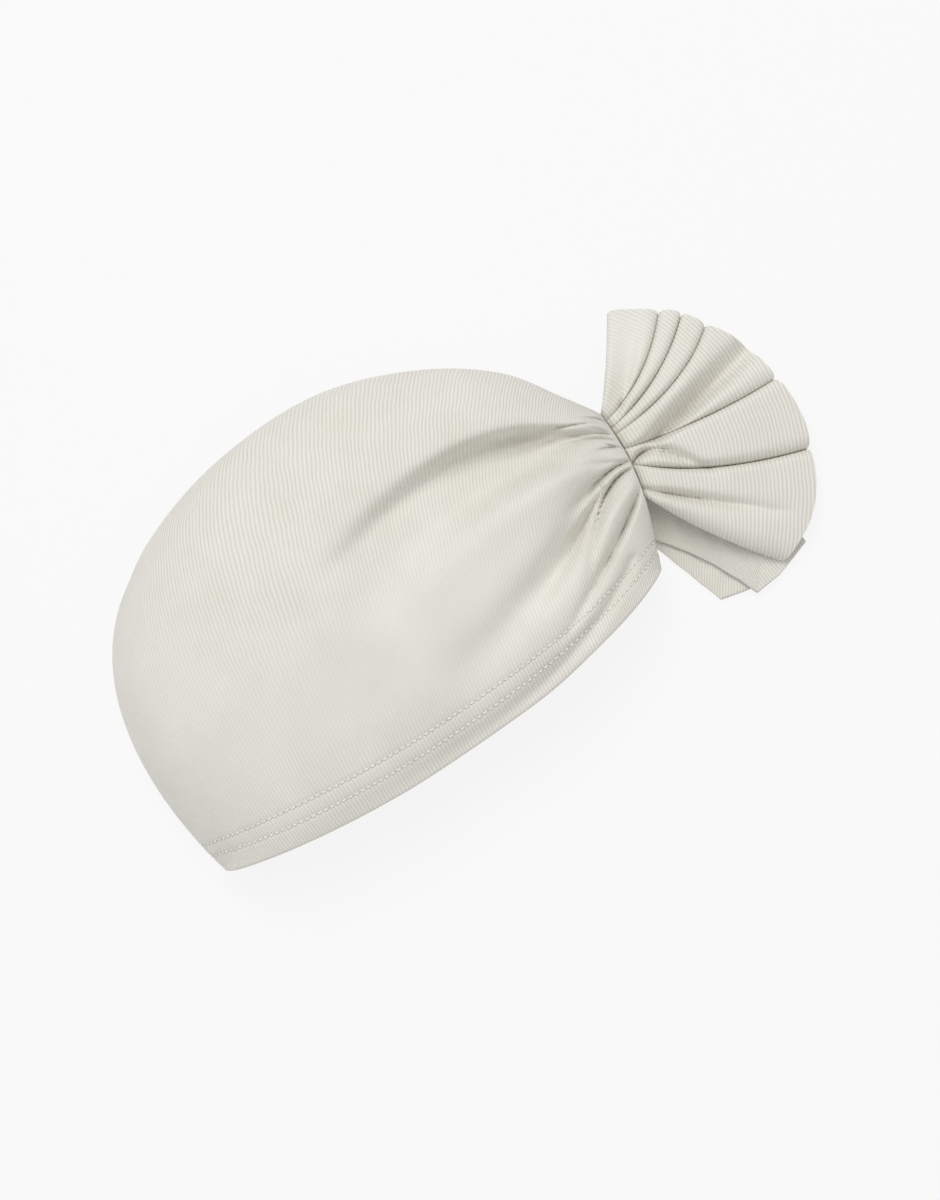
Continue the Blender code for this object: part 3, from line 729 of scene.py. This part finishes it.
def rib_knit(name, cloth, pitch):
    """Fine rib-knit cotton jersey, matt: rounded ribs with painted shade in the narrow grooves between them,
    small slanted stitches along each rib, a soft fuzz, and a cloudy tone that differs at random.

    The pattern follows the cloth by its own UV map. The stitches and the fuzz are drawn coarser than the real
    ones, which would be too fine to show.
    """
    material, tree = empty_material(name)
    ribs_per_decimetre = DECIMETRE * MM / pitch
    courses_per_decimetre = DECIMETRE * MM / cloth.course_pitch

    place = add_node(tree, "UVMap", {"uv_map": "cloth"})
    local = add_node(tree, "TexCoord")
    wander = add_node(tree, "TexNoise", {"Scale": scale_of(WANDER_SIZE), "Detail": 1.0},
                      {"Vector": local.outputs["Object"]})
    split = add_node(tree, "SeparateXYZ", None, {"Vector": place.outputs["UV"]})
    width = WANDER_WIDTH / DECIMETRE
    shift = add_node(tree, "Math", {"operation": "MULTIPLY_ADD", 1: width, 2: -width / 2},
                     {0: wander.outputs["Fac"]})
    over = add_node(tree, "Math", {"operation": "ADD"}, {0: split.outputs["X"], 1: shift})
    ribs = add_node(tree, "Math", {"operation": "MULTIPLY", 1: ribs_per_decimetre}, {0: over})
    saw = add_node(tree, "Math", {"operation": "PINGPONG", 1: 0.5}, {0: ribs})
    crest = add_node(tree, "MapRange", {"interpolation_type": "SMOOTHERSTEP", "From Max": CREST_START},
                     {"Value": saw})
    slant = add_node(tree, "Math", {"operation": "MULTIPLY", 1: COURSE_SLANT}, {0: saw})
    along = add_node(tree, "Math", {"operation": "MULTIPLY_ADD", 1: courses_per_decimetre},
                     {0: split.outputs["Y"], 2: slant})
    course = add_node(tree, "Math", {"operation": "PINGPONG", 1: 0.5}, {0: along})
    fuzz = add_node(tree, "TexNoise", {"Scale": scale_of(FUZZ_SIZE), "Detail": 3.0, "Roughness": 0.7},
                    {"Vector": local.outputs["Object"]})
    stitched = add_node(tree, "Math", {"operation": "MULTIPLY_ADD", 1: COURSE_RELIEF}, {0: course, 2: crest})
    relief = add_node(tree, "Attribute", {"attribute_name": "relief"})
    standing = add_node(tree, "Math", {"operation": "MULTIPLY"}, {0: stitched, 1: relief.outputs["Fac"]})
    height = add_node(tree, "Math", {"operation": "MULTIPLY_ADD", 1: FUZZ_RELIEF},
                      {0: fuzz.outputs["Fac"], 2: standing})
    bump = add_node(tree, "Bump", {"Strength": 1.0, "Distance": cloth.rib_depth}, {"Height": height})

    cloudy = add_node(tree, "TexNoise", {"Scale": scale_of(CLOUD_SIZE), "Detail": 3.0, "Roughness": 0.6},
                      {"Vector": local.outputs["Object"]})
    tint = add_node(tree, "MapRange", {"From Min": 0.3, "From Max": 0.7, "To Min": 0.0, "To Max": CLOUD_TINT},
                    {"Value": cloudy.outputs["Fac"]})
    # Painted shade in the grooves between the ribs: the colour steps towards the groove colour there, less
    # where the ribs lie flatter, and the random cloudy tone is added to that step
    groove_shade = add_node(tree, "Math", {"operation": "MULTIPLY_ADD", 1: -PAINTED_GROOVE_SHADE, 2: PAINTED_GROOVE_SHADE},
                      {0: crest})
    depth = add_node(tree, "Math", {"operation": "MULTIPLY"}, {0: groove_shade, 1: relief.outputs["Fac"]})
    share = add_node(tree, "Math", {"operation": "ADD", "use_clamp": True}, {0: depth, 1: tint})
    colour = add_node(tree, "Mix", {"data_type": "RGBA", 6: (*cloth.crest, 1.0), 7: (*cloth.groove, 1.0)},
                      {0: share})
    shader = add_node(tree, "BsdfPrincipled", {
        "Roughness": 0.9, "IOR": 1.5, "Specular IOR Level": 0.25,
        "Sheen Weight": 0.25, "Sheen Roughness": 0.5,
    }, {"Base Color": colour.outputs[2], "Normal": bump})
    add_node(tree, "OutputMaterial", None, {"Surface": shader})
    return material


def cotton_thread(name, colour, shade_colour):
    """Spun cotton sewing thread, smooth and faintly glossy, with painted shade where its ends enter the
    cloth.
    """
    material, tree = empty_material(name)
    local = add_node(tree, "TexCoord")
    twist = add_node(tree, "TexNoise", {"Scale": scale_of(TWIST_SIZE), "Detail": 2.0},
                     {"Vector": local.outputs["Object"]})
    shade = add_node(tree, "MapRange", {"To Min": 0.86, "To Max": 1.06}, {"Value": twist.outputs["Fac"]})
    tone = add_node(tree, "Mix", {"data_type": "RGBA", "blend_type": "MULTIPLY", 0: 1.0, 6: (*colour, 1.0)},
                    {7: shade})
    # Painted shade on the thread's ends, by the attribute that grows towards them
    hole_shade = add_node(tree, "Attribute", {"attribute_name": "hole_shade"})
    ends = add_node(tree, "Mix", {"data_type": "RGBA", 7: (*shade_colour, 1.0)},
                    {0: hole_shade.outputs["Fac"], 6: tone.outputs[2]})
    shader = add_node(tree, "BsdfPrincipled", {"Roughness": 0.7, "Specular IOR Level": 0.35},
                      {"Base Color": ends.outputs[2]})
    add_node(tree, "OutputMaterial", None, {"Surface": shader})
    return material


def dashes(middles, runs, outs, length, thickness):
    """Points and faces of a short rounded thread at each place, along its run and standing out of the cloth.

    Its middle line falls by DASH_ARCH of its thickness towards the ends, with the square of the distance, and
    its rings shrink as a half circle does.
    """
    along = np.linspace(-1.0, 1.0, DASH_RINGS)
    around = 2 * np.pi * np.arange(DASH_SIDES) / DASH_SIDES
    radius = thickness / 2 * np.sqrt(np.minimum(DASH_END - along ** 2, 1.0))
    across = unit(np.cross(outs, runs))
    spine = middles[:, None] + runs[:, None] * (along * length / 2)[None, :, None]
    spine = spine - outs[:, None] * (DASH_ARCH * thickness * along ** 2)[None, :, None]
    ring = (across[:, None, None] * np.cos(around)[None, None, :, None]
            + outs[:, None, None] * np.sin(around)[None, None, :, None])
    points = (spine[:, :, None] + ring * radius[None, :, None, None]).reshape(-1, 3)

    index = np.arange(DASH_RINGS * DASH_SIDES).reshape(DASH_RINGS, DASH_SIDES)
    side_faces = grid_faces(np.concatenate((index, index[:, :1]), axis=1))
    first_end = index[0, [[0, 1, 2, 3], [0, 3, 4, 5]]]
    last_end = index[-1, [[3, 2, 1, 0], [5, 4, 3, 0]]]
    one = np.concatenate((side_faces, first_end, last_end))
    offsets = (np.arange(len(middles)) * index.size)[:, None, None]
    return points, (one[None] + offsets).reshape(-1, 4)


def thread_hole_shade(count):
    """Painted shade of the needle holes at each point of so many threads, from 0 to 1."""
    along = np.abs(np.linspace(-1.0, 1.0, DASH_RINGS))
    one = smooth_step((along - HOLE_SHADE_START) / HOLE_SHADE_REACH).repeat(DASH_SIDES)
    return np.tile(one, count // len(one))


def length_property(name, description, metres):
    """A length that a user may change."""
    return FloatProperty(name=name, description=description, default=metres, min=MM / 100, unit="LENGTH")


def colour_property(name, description, code):
    """A colour that a user may change, from its sRGB hex value."""
    return FloatVectorProperty(name=name, description=description, default=srgb(code), subtype="COLOR")


def strength_property(name, description, strength, measure="NONE"):
    """The strength of a light that a user may change."""
    return FloatProperty(name=name, description=description, default=strength, min=0.0, unit=measure)


class HatCloth(bpy.types.PropertyGroup):
    """Sizes and colours of the hat's cloth."""

    wall: length_property("Cloth", "Thickness of one layer of jersey", 0.0012)
    rib_pitch: length_property("Rib pitch", "Distance from rib to rib on the cap", 0.00118)
    fan_rib_pitch: length_property("Fan rib pitch", "Distance from rib to rib on the stretched fan", 0.0015)
    rib_depth: length_property("Rib depth", "Height of a rib over its grooves", 0.00014)
    course_pitch: length_property("Course pitch", "Distance from stitch to stitch along a rib", 0.0013)
    crest: colour_property("Crest", "Colour of the ribs' crests", "#E8E6DF")
    # The groove colour is painted shade in the grooves between the ribs, and also the far end of the random
    # cloudy tone
    groove: colour_property("Groove", "Colour of the grooves between the ribs", "#D9D6CA")
    thread: colour_property("Thread", "Colour of the sewing thread", "#F0EEE8")
    # Painted shade on the thread's ends, where they go into the cloth's needle holes
    painted_hole_shade: colour_property("Needle hole", "Colour of the thread's ends in the needle holes", "#ADA698")


class HatStitches(bpy.types.PropertyGroup):
    """Sizes of the hem's stitches."""

    pitch: length_property("Pitch", "Distance from stitch to stitch", 0.0025)
    length: length_property("Length", "Length of thread that shows", 0.0023)
    thickness: length_property("Thickness", "Thickness of the thread", 0.0006)


class HatStage(bpy.types.PropertyGroup):
    """Colour of the floor, and strengths of the lights."""

    floor: colour_property("Floor", "Colour of the table top", "#5A5A5A")
    key_power: strength_property("Key light", "Power of the large soft light at the top", 38.0, "POWER")
    sky: strength_property("Sky", "Strength of the even light from overhead", 0.92)
    horizon: strength_property("Horizon", "Share of the sky's strength that is left at the horizon", 0.25)
    glow: strength_property("Glow", "Strength of the light from inside the table", 0.85)


def build_cap(context):
    """The cap's cloth with its turned hem, from the crown and hem band."""
    cloth = context.scene.hat_cloth
    across = cap_columns()
    up = cap_rows()
    near, far = cap_skin(across, up)
    near_out, far_out = cap_normals(near, far)
    near = hem_relief(near, near_out, up)
    far = hem_relief(far, far_out, up)
    far[..., 2] = np.maximum(far[..., 2], 0.0)
    inner = np.linspace(0, np.searchsorted(hem_rows(), HEM_TURNING), TURNING_ROWS).round().astype(int)
    near = with_turned_hem(near, near_out, inner)
    far = with_turned_hem(far, far_out, inner)

    columns, rows = near.shape[:2]
    near_index = np.arange(columns * rows).reshape(columns, rows)
    far_index = near_index.copy()
    far_inner = far[1:-1, :-1].reshape(-1, 3)
    far_index[1:-1, :-1] = columns * rows + np.arange(len(far_inner)).reshape(columns - 2, rows - 1)
    points = np.concatenate((near.reshape(-1, 3), far_inner))
    faces = np.concatenate((grid_faces(near_index), grid_faces(far_index)[:, ::-1]))
    far_uv = cloth_place(far, across)[1:-1, :-1]
    uv = np.concatenate((cloth_place(near, across).reshape(-1, 2), far_uv.reshape(-1, 2)))
    material = rib_knit("rib_knit_cotton", cloth, cloth.rib_pitch)
    piece = make_mesh("cap_cloth", points, faces, material, uv)
    thicken(piece, cloth.wall)
    return piece


class HAT_OT_cap(bpy.types.Operator):
    """Make the cap's cloth, with its hem turned in."""

    bl_idname = "hat.cap"
    bl_label = "Cap"

    def execute(self, context):
        piece = build_cap(context)
        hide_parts("crown", "hem_band")
        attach(piece, "root")
        return {"FINISHED"}


def build_hem_stitches(context):
    """Two rows of short threads along the near and the far hem, each thread over the groove of its row."""
    cloth = context.scene.hat_cloth
    stitches = context.scene.hat_stitches
    length = stitches.length / MM
    thickness = stitches.thickness / MM
    up = cap_rows()
    skins = cap_skin(cap_columns(), up)
    points = []
    faces = []
    count = 0
    for skin, out in zip(skins, cap_normals(*skins)):
        skin = hem_relief(skin, out, up)
        for row in STITCH_ROWS:
            place = np.array([np.interp(row, hem_rows(), np.arange(HEM_ROWS))])
            line = at_places(skin.transpose(1, 0, 2), place)[0]
            normal = unit(at_places(out.transpose(1, 0, 2), place))[0]
            where = even_places(line, stitches.pitch / MM)
            run = unit(at_places(np.gradient(line, axis=0), where))
            stand = unit(at_places(normal, where))
            middles = at_places(line, where) + stand * thickness * DASH_LIFT
            keep = middles[:, 2] > thickness
            some, some_faces = dashes(middles[keep], run[keep], stand[keep], length, thickness)
            points.append(some)
            faces.append(some_faces + count)
            count += len(some)
    material = cotton_thread("cotton_thread", cloth.thread, cloth.painted_hole_shade)
    piece = make_mesh("hem_stitches", np.concatenate(points), np.concatenate(faces), material)
    # Painted shade on the thread's ends, from 0 in the middle of each thread to 1 at its ends
    hole_shade = piece.data.attributes.new("hole_shade", "FLOAT", "POINT")
    hole_shade.data.foreach_set("value", thread_hole_shade(count).astype(np.float32))
    return piece


class HAT_OT_hem_stitches(bpy.types.Operator):
    """Make the two rows of stitches along the hem."""

    bl_idname = "hat.hem_stitches"
    bl_label = "Hem stitches"

    def execute(self, context):
        piece = build_hem_stitches(context)
        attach(piece, "root")
        return {"FINISHED"}


def build_seam(context):
    """The gather's seam: an upright roll of bunched cloth that follows the gather.

    Each ring is an upright oval, wider at its top, and its width swells and shrinks with the bunched cloth.
    The rings shrink towards both ends of the roll, by the sixth power of the distance from its middle.
    """
    cloth = context.scene.hat_cloth
    share = np.linspace(0.0, 1.0, SEAM_RINGS)
    places = GATHER_START + (1 - GATHER_START) * share
    middle = gather_line(places, GAP + SEAM_WIDTH / 2)
    side = unit(gather_line(places, GAP + SEAM_WIDTH) - middle)
    turn = np.arange(SEAM_SIDES) / SEAM_SIDES
    over = np.cos(2 * np.pi * turn)
    up = np.sin(2 * np.pi * turn)
    lift = (1 + up) / 2
    size = np.sqrt(1 - SEAM_END_LOSS * (2 * share - 1) ** 6)
    bunch = SEAM_BUNCH * np.abs(np.sin(np.pi * share * SEAM_PLEATS))
    bunch += SEAM_FINE_BUNCH * np.sin(2 * np.pi * share * SEAM_FINE_PLEATS)
    swell = 1 + BUNCH_SWELL * (bunch - 0.5)
    width = SEAM_WIDTH + (SEAM_SPREAD - SEAM_WIDTH) * lift ** 2
    wide = (size * swell)[:, None] * (width / 2 * over)[None, :]
    height = SEAM_TOP - SEAM_LOW
    high = height / 2 * size[:, None] * up[None, :] + (bunch - SEAM_BUNCH)[:, None] * lift[None, :]
    x = middle[:, None, 0] + side[:, None, 0] * wide
    y = middle[:, None, 1] + side[:, None, 1] * wide
    rings = np.stack((x, y, SEAM_LOW + height / 2 + high), axis=-1)

    index = np.arange(rings[..., 0].size).reshape(SEAM_RINGS, SEAM_SIDES)
    ends = np.array([[ring[k], ring[k + 1], ring[-2 - k], ring[-1 - k]][::order]
                     for ring, order in ((index[0], 1), (index[-1], -1)) for k in range(SEAM_SIDES // 2 - 1)])
    faces = np.concatenate((grid_faces(np.concatenate((index, index[:, :1]), axis=1)), ends))
    uv = np.stack(np.broadcast_arrays(share[:, None] * SEAM_LENGTH, turn[None] * SEAM_GIRTH), axis=-1)
    material = rib_knit("seam_knit", cloth, cloth.rib_pitch)
    return make_mesh("gather_cloth", rings.reshape(-1, 3), faces, material, uv.reshape(-1, 2) / DECIMETRE)


class HAT_OT_gather(bpy.types.Operator):
    """Make the gather's seam of bunched cloth."""

    bl_idname = "hat.gather"
    bl_label = "Gather"

    def execute(self, context):
        piece = build_seam(context)
        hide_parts("gather_seam")
        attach(piece, "root")
        return {"FINISHED"}


def build_fan_front(context):
    """The fan's pleated front layer, with its ribs along its rim."""
    cloth = context.scene.hat_cloth
    skin = fan_front_skin()
    material = rib_knit("rib_knit_cotton_fan", cloth, cloth.fan_rib_pitch)
    outward = length_along(skin[..., :2], 1)
    return make_sheet("fan_front_cloth", skin, outward, length_along(skin, 0), material, cloth.wall)


class HAT_OT_fan_front(bpy.types.Operator):
    """Make the fan's pleated front layer."""

    bl_idname = "hat.fan_front"
    bl_label = "Fan front"

    def execute(self, context):
        piece = build_fan_front(context)
        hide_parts("fan_front")
        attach(piece, "root")
        return {"FINISHED"}


def build_fan_layer(context, name, plan, height):
    """A lower layer of the fan, with its ribs across its edge and a low ripple along it."""
    cloth = context.scene.hat_cloth
    around = length_along(plan, 0)
    around = around - around[-1]
    ripple = LAYER_RIPPLE * (1 + np.sin(2 * np.pi * around / LAYER_RIPPLE_LENGTH))
    grid = np.concatenate((plan, (height + ripple)[..., None]), axis=-1)
    material = rib_knit(name + "_knit", cloth, cloth.rib_pitch)
    return make_sheet(name, grid, around, length_along(plan, 1), material, cloth.wall)


def build_fan_hem(context):
    """The turned hem of the fan's front layer, over the back layer."""
    table = [(line.outer_x, line.outer_y, line.inner_x, line.inner_y) for line in FAN_HEM_LINES]
    plan = layer_sheet(table, FAN_HEM_ROWS)
    height = back_height(plan[..., 0], plan[..., 1]) + GAP + FAN_LAYER
    return build_fan_layer(context, "fan_hem_cloth", plan, height)


def build_fan_back(context):
    """The fan's back layer, from the gather to its rim."""
    roots = fan_root([line.root for line in BACK_LINES])
    table = [(*root, line.rim_x, line.rim_y) for root, line in zip(roots, BACK_LINES)]
    plan = layer_sheet(table, FAN_BACK_ROWS)
    return build_fan_layer(context, "fan_back_cloth", plan, back_height(plan[..., 0], plan[..., 1]))


class HAT_OT_fan_layers(bpy.types.Operator):
    """Make the fan's turned hem and its back layer."""

    bl_idname = "hat.fan_layers"
    bl_label = "Fan layers"

    def execute(self, context):
        hem = build_fan_hem(context)
        back = build_fan_back(context)
        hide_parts("fan_hem")
        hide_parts("fan_back")
        for piece, flat, below in ((hem, (0.062, 0.017), back.name), (back, (0.12, 0.05), "floor")):
            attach(piece, "root")
        return {"FINISHED"}


def build_floor(stage):
    """The top of a light table: opal acrylic that glows from inside, matt and even, with hardly a shadow."""
    bpy.ops.mesh.primitive_plane_add(size=FLOOR_SIZE)
    floor = bpy.context.object
    floor.name = "floor"
    material, tree = empty_material("lit_opal_acrylic")
    shader = add_node(tree, "BsdfPrincipled", {
        "Base Color": (*stage.floor, 1.0), "Roughness": 1.0, "Specular IOR Level": 0.0,
        "Emission Color": (1.0, 1.0, 1.0, 1.0), "Emission Strength": stage.glow,
    })
    add_node(tree, "OutputMaterial", None, {"Surface": shader})
    floor.data.materials.append(material)


def photo_to_floor(pixel_x, pixel_y):
    """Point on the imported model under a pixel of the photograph, in metres."""
    right = (pixel_x - HEM_CORNER_PIXEL[0]) * PIXEL
    up = (HEM_CORNER_PIXEL[1] - pixel_y) * PIXEL
    roll = np.radians(CAMERA_ROLL)
    x = right * np.cos(roll) + up * np.sin(roll)
    y = up * np.cos(roll) - right * np.sin(roll)
    return to_hat(np.array((x, y, 0.0)))


def build_camera(context):
    """A camera straight above the hat, rolled as the photograph is."""
    data = bpy.data.cameras.new("camera")
    camera = bpy.data.objects.new("camera", data)
    context.scene.collection.objects.link(camera)
    below = photo_to_floor(PHOTO_WIDTH / 2, PHOTO_HEIGHT / 2)
    camera.location = (below[0], below[1], CAMERA_HEIGHT * MM)
    camera.rotation_euler = (0.0, 0.0, -np.radians(CAMERA_ROLL))
    data.sensor_width = SENSOR_WIDTH
    data.lens = SENSOR_WIDTH * (CAMERA_HEIGHT - OUTLINE_HEIGHT) / (PHOTO_HEIGHT * PIXEL)
    data.clip_start = 0.05
    data.clip_end = 20.0
    context.scene.camera = camera


def add_softbox(context, name, at, size, power):
    """A square soft light that points at the hat."""
    data = bpy.data.lights.new(name, "AREA")
    data.shape = "SQUARE"
    data.size = size
    data.energy = power
    light = bpy.data.objects.new(name, data)
    context.scene.collection.objects.link(light)
    light.location = at
    light.rotation_euler = (-Vector(at)).to_track_quat("-Z", "Y").to_euler()


def build_lights(context, stage):
    """A large soft light from the photograph's top, and an even pale sky."""
    add_softbox(context, "key", KEY_PLACE, KEY_SIZE, stage.key_power)
    world = bpy.data.worlds.new("sky")
    world.use_nodes = True
    tree = world.node_tree
    background = tree.nodes["Background"]
    background.inputs["Color"].default_value = (1.0, 1.0, 1.0, 1.0)
    way = add_node(tree, "TexCoord")
    up = add_node(tree, "SeparateXYZ", None, {"Vector": way.outputs["Generated"]})
    bright = add_node(tree, "MapRange", {"To Min": stage.sky * stage.horizon, "To Max": stage.sky},
                      {"Value": up.outputs["Z"]})
    tree.links.new(bright.outputs[0], background.inputs["Strength"])
    context.scene.world = world
    context.scene.view_settings.view_transform = "Standard"


class HAT_OT_stage(bpy.types.Operator):
    """Make the floor, the lights and the camera."""

    bl_idname = "hat.stage"
    bl_label = "Stage"

    def execute(self, context):
        stage = context.scene.hat_stage
        build_floor(stage)
        build_lights(context, stage)
        build_camera(context)
        return {"FINISHED"}


class HAT_PT_panel(bpy.types.Panel):
    """The hat's pieces, in the order that they are made."""

    bl_label = "Turban Hat"
    bl_idname = "HAT_PT_panel"
    bl_space_type = "VIEW_3D"
    bl_region_type = "UI"
    bl_category = "Turban Hat"

    def draw(self, context):
        for operator in PIECE_OPERATORS:
            self.layout.operator(operator.bl_idname)
        for group in (context.scene.hat_cloth, context.scene.hat_stitches, context.scene.hat_stage):
            box = self.layout.box()
            for name in group.__annotations__:
                box.prop(group, name)


PIECE_OPERATORS = (
    HAT_OT_cap, HAT_OT_hem_stitches, HAT_OT_gather, HAT_OT_fan_front, HAT_OT_fan_layers, HAT_OT_stage,
)
GROUPS = {"hat_cloth": HatCloth, "hat_stitches": HatStitches, "hat_stage": HatStage}


def register():
    """Add the hat's properties, operators and panel to Blender."""
    for group in (*GROUPS.values(), *PIECE_OPERATORS, HAT_PT_panel):
        bpy.utils.register_class(group)
    for name, group in GROUPS.items():
        setattr(bpy.types.Scene, name, PointerProperty(type=group))


def unregister():
    """Take the hat's properties, operators and panel out again."""
    for name in GROUPS:
        delattr(bpy.types.Scene, name)
    for group in reversed((*GROUPS.values(), *PIECE_OPERATORS, HAT_PT_panel)):
        bpy.utils.unregister_class(group)


def main():
    """Make the hat and its stage."""
    register()
    for operator in PIECE_OPERATORS:
        area, name = operator.bl_idname.split(".")
        getattr(getattr(bpy.ops, area), name)()


if __name__ == "__main__":
    main()
